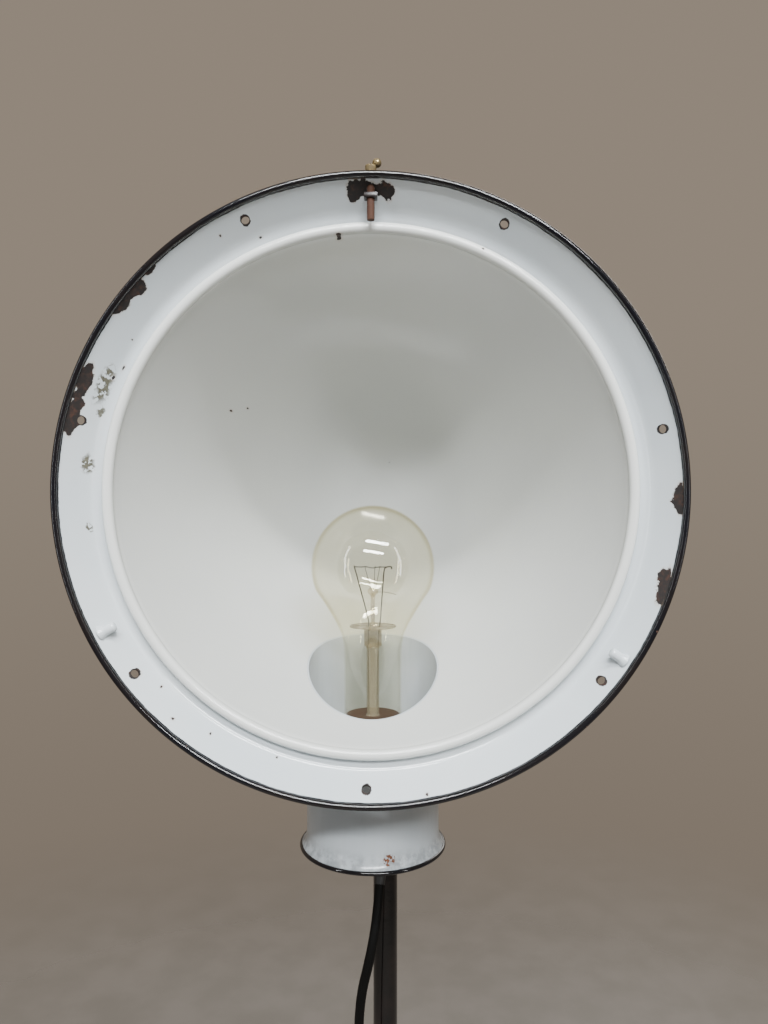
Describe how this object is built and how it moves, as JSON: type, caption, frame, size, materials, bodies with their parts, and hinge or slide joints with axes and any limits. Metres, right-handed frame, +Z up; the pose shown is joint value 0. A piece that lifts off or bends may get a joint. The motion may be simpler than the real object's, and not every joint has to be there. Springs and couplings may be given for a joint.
{
  "type": "surgical light",
  "caption": "Old floor-standing surgical light: big round enamelled dish with a clear bulb in a lamp neck, on a tilting, turning and sliding black mast with a round iron foot.",
  "frame": {"origin": "on the floor under the mast's axis, at the middle of the foot's pad", "axes": "+Z up along the mast, the lamp faces -Y at rest, +X to its right-hand side seen from the front"},
  "size_m": [0.4253, 0.53, 1.366],
  "materials": {
    "white_enamel": "gloss vitreous enamel, chipped",
    "reflector_enamel": "gloss vitreous enamel",
    "black_enamel": "gloss vitreous enamel",
    "black_paint": "gloss stove enamel",
    "base_iron": "black paint over cast iron",
    "rusty_steel": "rusted steel",
    "plain_steel": "plain turned steel",
    "zinc_steel": "zinc plated, dull",
    "wire_nickel": "nickel wire",
    "tungsten": "dark tungsten",
    "old_brass": "tarnished brass",
    "cap_brass": "brown tarnished brass",
    "clear_glass": "clear lamp glass",
    "stem_glass": "pressed glass",
    "black_glass": "black glass insulator",
    "mica": "mica sheet",
    "porcelain": "white glazed porcelain",
    "black_bakelite": "moulded phenolic",
    "fibre": "red vulcanised fibre",
    "black_rubber": "aged black rubber",
    "cord_rubber": "black rubber sheath"
  },
  "bodies": {
    "stand": {"base_casting": "base_iron", "base_pad": "black_rubber", "base_screws": "plain_steel", "column_tube": "black_paint", "height_collar": "black_paint", "collar_bush": "old_brass", "mains_cord": "cord_rubber", "cord_coil": "cord_rubber", "cord_tail": "cord_rubber", "plug_body": "black_bakelite", "plug_pins": "old_brass"},
    "mast": {"mast_tube": "black_paint", "mast_foot": "old_brass", "mast_cap": "plain_steel", "swivel_washer": "fibre", "cord_spout": "black_paint", "strain_relief": "black_rubber"},
    "swivel": {"swivel_head": "black_paint", "lead_gland": "old_brass"},
    "head": {"housing": "white_enamel", "rim_bead": "black_enamel", "reflector": "reflector_enamel", "reflector_clips": "zinc_steel", "glass_pegs": "white_enamel", "lock_nut": "rusty_steel", "lamp_neck": "white_enamel", "neck_rim": "black_enamel", "neck_cover": "white_enamel", "neck_grommet": "black_rubber", "bulb_glass": "clear_glass", "bulb_cap": "cap_brass", "bulb_insulator": "black_glass", "bulb_tip": "plain_steel", "bulb_stem": "stem_glass", "mica_disc": "mica", "lead_wires": "wire_nickel", "filament_supports": "wire_nickel", "filament": "tungsten", "socket_body": "porcelain", "socket_shell": "old_brass", "socket_contact": "old_brass", "socket_bracket": "zinc_steel", "socket_screws": "plain_steel", "head_bracket": "black_paint", "bracket_rivets": "plain_steel", "tilt_bolt": "plain_steel", "tilt_washer": "fibre"},
    "tilt_knob": {"tilt_grip": "black_bakelite", "tilt_nut": "old_brass"},
    "swivel_thumb": {"swivel_screw": "plain_steel", "swivel_wing": "plain_steel"},
    "height_knob": {"height_screw": "plain_steel", "height_grip": "black_bakelite"},
    "glass_lock": {"lock_screw": "rusty_steel", "lock_lever": "old_brass"}
  },
  "joints": [
    {"name": "mast_slide", "type": "slide", "parent": "stand", "child": "mast", "axis": [0, 0, 1], "range_m": [-0.08, 0.3], "deforming": ["mains_cord"]},
    {"name": "head_turn", "type": "hinge", "parent": "mast", "child": "swivel", "pos_m": [0, 0, 1.1], "axis": [0, 0, 1], "range_deg": [-170, 170]},
    {"name": "head_tilt", "type": "hinge", "parent": "swivel", "child": "head", "pos_m": [0, 0, 1.15], "axis": [1, 0, 0], "range_deg": [-60, 24]},
    {"name": "tilt_knob_turn", "type": "hinge", "parent": "swivel", "child": "tilt_knob", "pos_m": [0, 0, 1.15], "axis": [1, 0, 0], "range_deg": [0, 180]},
    {"name": "swivel_thumb_turn", "type": "hinge", "parent": "swivel", "child": "swivel_thumb", "pos_m": [0, 0, 1.108], "axis": [0, 1, 0], "range_deg": [0, 180]},
    {"name": "height_knob_turn", "type": "hinge", "parent": "stand", "child": "height_knob", "pos_m": [0, 0, 0.536], "axis": [1, 0, 0], "range_deg": [0, 180]},
    {"name": "glass_lock_slide", "type": "slide", "parent": "head", "child": "glass_lock", "axis": [0, 0, 1], "range_m": [0, 0.013]}
  ]
}
